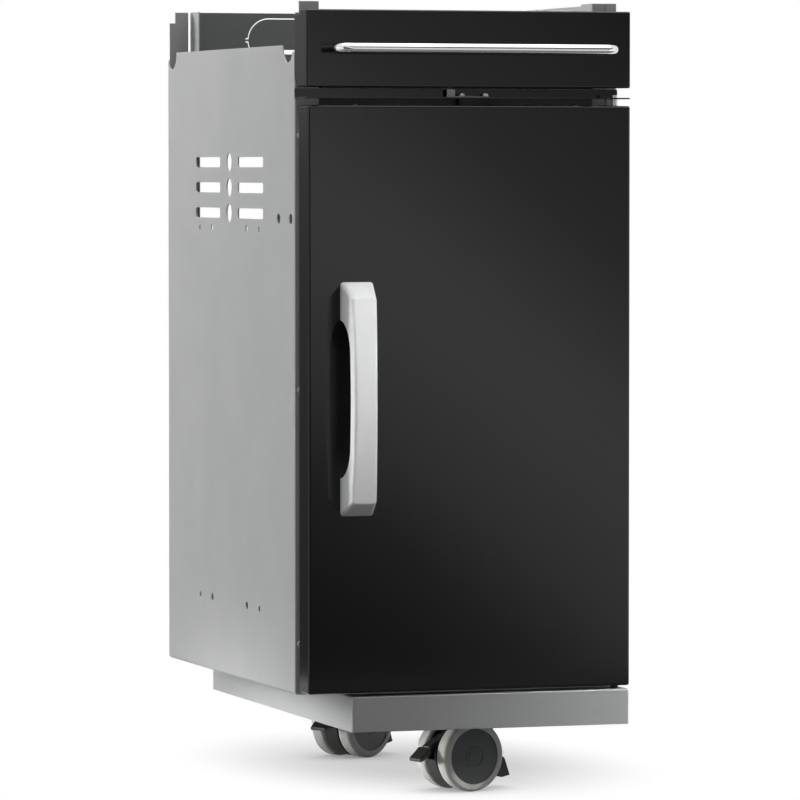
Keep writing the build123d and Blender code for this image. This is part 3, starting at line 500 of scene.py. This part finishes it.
@dataclass
class Softbox:
    """One rectangular studio lamp aimed at the cabinet."""

    name: str
    place: tuple[float, float, float]
    aim: tuple[float, float, float]
    size: tuple[float, float]
    watts: float
    spread: float = 180.0

    def build(self) -> None:
        """Hang the lamp and aim it."""
        lamp = bpy.data.lights.new(self.name, "AREA")
        lamp.shape = "RECTANGLE"
        lamp.size, lamp.size_y = self.size
        lamp.energy = self.watts
        lamp.spread = radians(self.spread)
        hung = bpy.data.objects.new(self.name, lamp)
        hung.location = self.place
        way = Vector(self.aim) - Vector(self.place)
        hung.rotation_euler = way.to_track_quat("-Z", "Y").to_euler()
        bpy.context.scene.collection.objects.link(hung)
        log.info("lamp %s", self.name)


@dataclass
class Card:
    """A glowing card that stands or lies out of the picture and shows only in mirrored rays: it lights
    nothing and paints a graded reflection on the cabinet.
    """

    name: str
    place: tuple[float, float]
    size: tuple[float, float]
    stops: tuple[tuple[float, float], ...]
    turn: float = 0.0
    tilt: float = 0.0
    lean: float = 0.0
    off_floor: float = 0.012

    def build(self) -> None:
        """Set the card up and leave it visible to mirrored rays alone."""
        width, height = self.size
        half = width / 2
        corners = [(-half, 0, 0), (half, 0, 0), (half, 0, height), (-half, 0, height)]
        mesh = bpy.data.meshes.new(self.name)
        mesh.from_pydata(corners, [], [(0, 1, 2, 3)])
        card = bpy.data.objects.new(self.name, mesh)
        card.location = (*self.place, self.off_floor)
        card.rotation_euler = (radians(self.tilt), 0.0, radians(self.turn))
        card.visible_camera = False
        card.visible_diffuse = False
        card.visible_shadow = False
        bpy.context.scene.collection.objects.link(card)
        mesh.materials.append(self.material())
        log.info("card %s", self.name)

    def material(self) -> bpy.types.Material:
        """Grade the card's glow along its leaning height; the stops set the painted reflection.

        Returns:
            An emission material that runs through the card's stops.
        """
        material = bpy.data.materials.new(f"{self.name}_painted_reflection")
        material.use_nodes = True
        tree = material.node_tree
        tree.nodes.clear()
        place = add_node(tree, "ShaderNodeTexCoord").outputs["Object"]
        height = add_node(tree, "ShaderNodeVectorMath", {"operation": "DOT_PRODUCT"}, {
            0: place, 1: (self.lean, 0.0, 1.0)})
        first, last = self.stops[0][0], self.stops[-1][0]
        along = add_node(tree, "ShaderNodeMapRange", inputs={
            "Value": height.outputs["Value"], "From Min": first, "From Max": last})
        ramp = add_node(tree, "ShaderNodeValToRGB", inputs={0: along.outputs[0]})
        steps = ramp.color_ramp.elements
        while len(steps) < len(self.stops):
            steps.new(0.5)
        for step, (place_m, level) in zip(steps, self.stops):
            step.position = (place_m - first) / (last - first)
            step.color = (level, level, level, 1.0)
        # The card glows though it is no lamp: its glow is a painted reflection.
        glow = add_node(tree, "ShaderNodeEmission", inputs={"Color": ramp.outputs[0], "Strength": 1.0})
        add_node(tree, "ShaderNodeOutputMaterial", inputs={"Surface": glow.outputs[0]})
        return material


@dataclass
class Studio:
    """Pale floor, soft light and the camera of the photograph."""

    camera_place: tuple[float, float, float] = (-1.91054, -5.8482, 0.66235)
    camera_yaw: float = 18.10
    camera_pitch: float = 2.37
    lens_mm: float = 255.456
    sensor_mm: float = 36.0
    sight: float = 60.0
    floor_half: float = 14.0
    floor_colour: str = "#f7f7f7"
    bounce_colour: str = "#707070"
    # Painted shadow: an elliptical pool round the cabinet's footprint and ambient-occlusion contact marks
    # dim the floor's white glow.
    pool_centre: tuple[float, float] = (0.055, 0.11)
    pool_radius: tuple[float, float] = (0.25, 0.4)
    pool_fade: tuple[float, float] = (0.25, 1.05)
    painted_pool_level: float = 0.64
    shadow_lift: float = 0.9
    contact_reach: float = 0.07
    contact_clear: float = 0.85
    contact_shadow_paint_level: float = 0.4
    contact_samples: int = 8
    front_level: float = 0.12
    rear_level: float = 0.8
    left_gain: float = 0.2
    lamps: list[Softbox] = field(default_factory=lambda: [
        Softbox("left_softbox", (-1.7, 2.3, 1.4), (-0.18, 0.95, 0.95), (2.0, 2.0), 30.0, 50.0),
        Softbox("left_strip", (-2.1, 0.05, 0.75), (-0.14, -0.26, 0.44), (0.35, 0.5), 0.036, 14.0),
        Softbox("low_left_lamp", (-1.6, 0.7, 0.1), (-0.12, 0.0, -0.04), (0.3, 0.1), 0.36, 16.0),
        Softbox("low_right_lamp", (0.8, -0.75, 0.75), (0.19, -0.235, 0.085), (0.1, 0.1), 0.17, 20.0),
        Softbox("handle_lamp", (0.87, -1.7, 1.15), (-0.125, -0.28, 0.48), (0.3, 0.3), 0.235, 14.0),
        Softbox("front_softbox", (1.2, -2.2, 3.0), (0.0, -0.3, 0.5), (2.0, 1.4), 11.0),
        Softbox("top_softbox", (0.1, -0.1, 3.2), (0.0, 0.0, 0.3), (2.4, 2.4), 50.0),
    ])
    # Glowing cards seen only in reflections: they paint graded reflections, such as the door enamel's dark
    # foot and bright middle band.
    cards: list[Card] = field(default_factory=lambda: [
        Card("front_card", (0.3, -1.45), (4.0, 1.6),
             ((-0.1, 0.1), (0.1, 0.24), (0.19, 0.36), (0.31, 0.74), (0.48, 1.05), (0.58, 1.05), (0.78, 0.58),
              (1.05, 0.38), (1.2, 0.12)), lean=0.79),
        Card("rear_left_card", (-0.6, 0.95), (2.4, 1.8),
             ((0.0, 0.065), (0.4, 0.09), (0.65, 0.135), (0.75, 0.26), (0.9, 0.32), (1.8, 0.5)), turn=18.0),
        Card("left_floor_card", (-0.75, 0.9), (1.1, 1.3), ((0.0, 0.4), (1.3, 0.4)), tilt=90.0),
        Card("front_floor_card", (0.3, -0.24), (3.0, 1.2),
             ((0.0, 0.12), (0.4, 0.22), (1.2, 0.35)), tilt=90.0),
        Card("right_card", (1.3, -1.1), (1.0, 0.8), ((0.0, 1.4), (0.8, 1.2)), turn=45.0),
    ])

    def build(self) -> None:
        """Set up floor, world, lamps, cards and camera."""
        bpy.context.scene.view_settings.view_transform = "Standard"
        self.lay_floor()
        self.light_world()
        for piece in (*self.lamps, *self.cards):
            piece.build()
        self.set_camera()

    def lay_floor(self) -> None:
        """Lay a broad pale floor, plain white further off; near the cabinet its white glow carries a painted
        shadow pool and painted contact shadows, with a small share of the real shadow mixed in.
        """
        mesh = bpy.data.meshes.new("studio_floor")
        half = self.floor_half
        corners = [(-half, -half, 0), (half, -half, 0), (half, half, 0), (-half, half, 0)]
        mesh.from_pydata(corners, [], [(0, 1, 2, 3)])
        floor = bpy.data.objects.new("studio_floor", mesh)
        bpy.context.scene.collection.objects.link(floor)
        material = bpy.data.materials.new("pale_paper_with_painted_shadow")
        material.use_nodes = True
        tree = material.node_tree
        tree.nodes.clear()
        place = add_node(tree, "ShaderNodeTexCoord").outputs["Object"]
        # Painted shadow pool: an ellipse round the cabinet's footprint, darkest in its middle.
        offset = add_node(tree, "ShaderNodeVectorMath", {"operation": "SUBTRACT"}, {
            0: place, 1: (*self.pool_centre, 0.0)}).outputs[0]
        radii = add_node(tree, "ShaderNodeVectorMath", {"operation": "DIVIDE"}, {
            0: offset, 1: (*self.pool_radius, 1.0)}).outputs[0]
        reach = add_node(tree, "ShaderNodeVectorMath", {"operation": "LENGTH"}, {0: radii}).outputs["Value"]
        away = add_node(tree, "ShaderNodeMapRange", {"interpolation_type": "SMOOTHSTEP"}, {
            "Value": reach, "From Min": self.pool_fade[0], "From Max": self.pool_fade[1]}).outputs[0]
        lift = add_node(tree, "ShaderNodeMapRange", inputs={
            "Value": away, "To Min": self.shadow_lift}).outputs[0]
        # Painted contact shadow: darker where ambient occlusion finds the wheels and plinth close by.
        open_sky = add_node(tree, "ShaderNodeAmbientOcclusion", {"samples": self.contact_samples}, {
            "Distance": self.contact_reach}).outputs["AO"]
        painted_contact_shade = add_node(tree, "ShaderNodeMapRange", inputs={
            "Value": open_sky, "From Max": self.contact_clear, "To Min": self.contact_shadow_paint_level}).outputs[0]
        level = add_node(tree, "ShaderNodeMapRange", inputs={
            "Value": away, "To Min": self.painted_pool_level}).outputs[0]
        # The white glow carries both painted shadows; the lit paper, with its real shadow, takes only the
        # small share the lift leaves.
        glow = add_node(tree, "ShaderNodeMath", {"operation": "MULTIPLY"}, {0: painted_contact_shade, 1: level}).outputs[0]
        seen = background_rays(tree)
        tone = add_node(tree, "ShaderNodeMix", {"data_type": "RGBA"}, {
            "Factor": seen, 6: linear(self.bounce_colour), 7: linear(self.floor_colour)}).outputs[2]
        paper = add_node(tree, "ShaderNodeBsdfDiffuse", inputs={"Color": tone})
        white = add_node(tree, "ShaderNodeEmission", inputs={"Color": linear("#ffffff"), "Strength": glow})
        share = add_node(tree, "ShaderNodeMath", {"operation": "MULTIPLY"}, {0: lift, 1: seen})
        surface = add_node(tree, "ShaderNodeMixShader", inputs={
            0: share.outputs[0], 1: paper.outputs[0], 2: white.outputs[0]})
        add_node(tree, "ShaderNodeOutputMaterial", inputs={"Surface": surface.outputs[0]})
        mesh.materials.append(material)

    def light_world(self) -> None:
        """Light the room: brighter behind and to the left of the cabinet, and white as a background."""
        world = bpy.data.worlds.new("studio_room")
        world.use_nodes = True
        tree = world.node_tree
        tree.nodes.clear()
        way = add_node(tree, "ShaderNodeTexCoord").outputs["Generated"]
        parts = add_node(tree, "ShaderNodeSeparateXYZ", inputs={0: way})
        depth = add_node(tree, "ShaderNodeMapRange", {"interpolation_type": "SMOOTHSTEP"}, {
            "Value": parts.outputs["Y"], "From Min": -1.0, "From Max": 1.0,
            "To Min": self.front_level, "To Max": self.rear_level}).outputs[0]
        left = add_node(tree, "ShaderNodeMapRange", inputs={
            "Value": parts.outputs["X"], "From Max": -1.0, "To Max": self.left_gain}).outputs[0]
        lit = add_node(tree, "ShaderNodeMath", {"operation": "ADD"}, {0: depth, 1: left})
        level = add_node(tree, "ShaderNodeMix", {"data_type": "FLOAT"}, {
            "Factor": background_rays(tree), 2: lit.outputs[0], 3: 1.0})
        room = add_node(tree, "ShaderNodeBackground", inputs={
            "Color": linear("#ffffff"), "Strength": level.outputs[0]})
        add_node(tree, "ShaderNodeOutputWorld", inputs={"Surface": room.outputs[0]})
        bpy.context.scene.world = world

    def set_camera(self) -> None:
        """Stand the camera where the photograph was taken from."""
        camera = bpy.data.cameras.new("photo_camera")
        camera.lens = self.lens_mm
        camera.sensor_width = self.sensor_mm
        camera.clip_end = self.sight
        stand = bpy.data.objects.new("photo_camera", camera)
        stand.location = self.camera_place
        stand.rotation_euler = (radians(90.0 - self.camera_pitch), 0.0, radians(-self.camera_yaw))
        bpy.context.scene.collection.objects.link(stand)
        bpy.context.scene.camera = stand


def main() -> None:
    """Dress the cabinet and set the studio."""
    logging.basicConfig(level=logging.INFO, format="%(message)s")
    casters = [Caster(end=end) for end in End]
    for assembly in (Carcass(), Plinth(), Fascia(), HingeAndCatch(), Door(), *casters):
        assembly.dress()
    Studio().build()


if __name__ == "__main__":
    main()
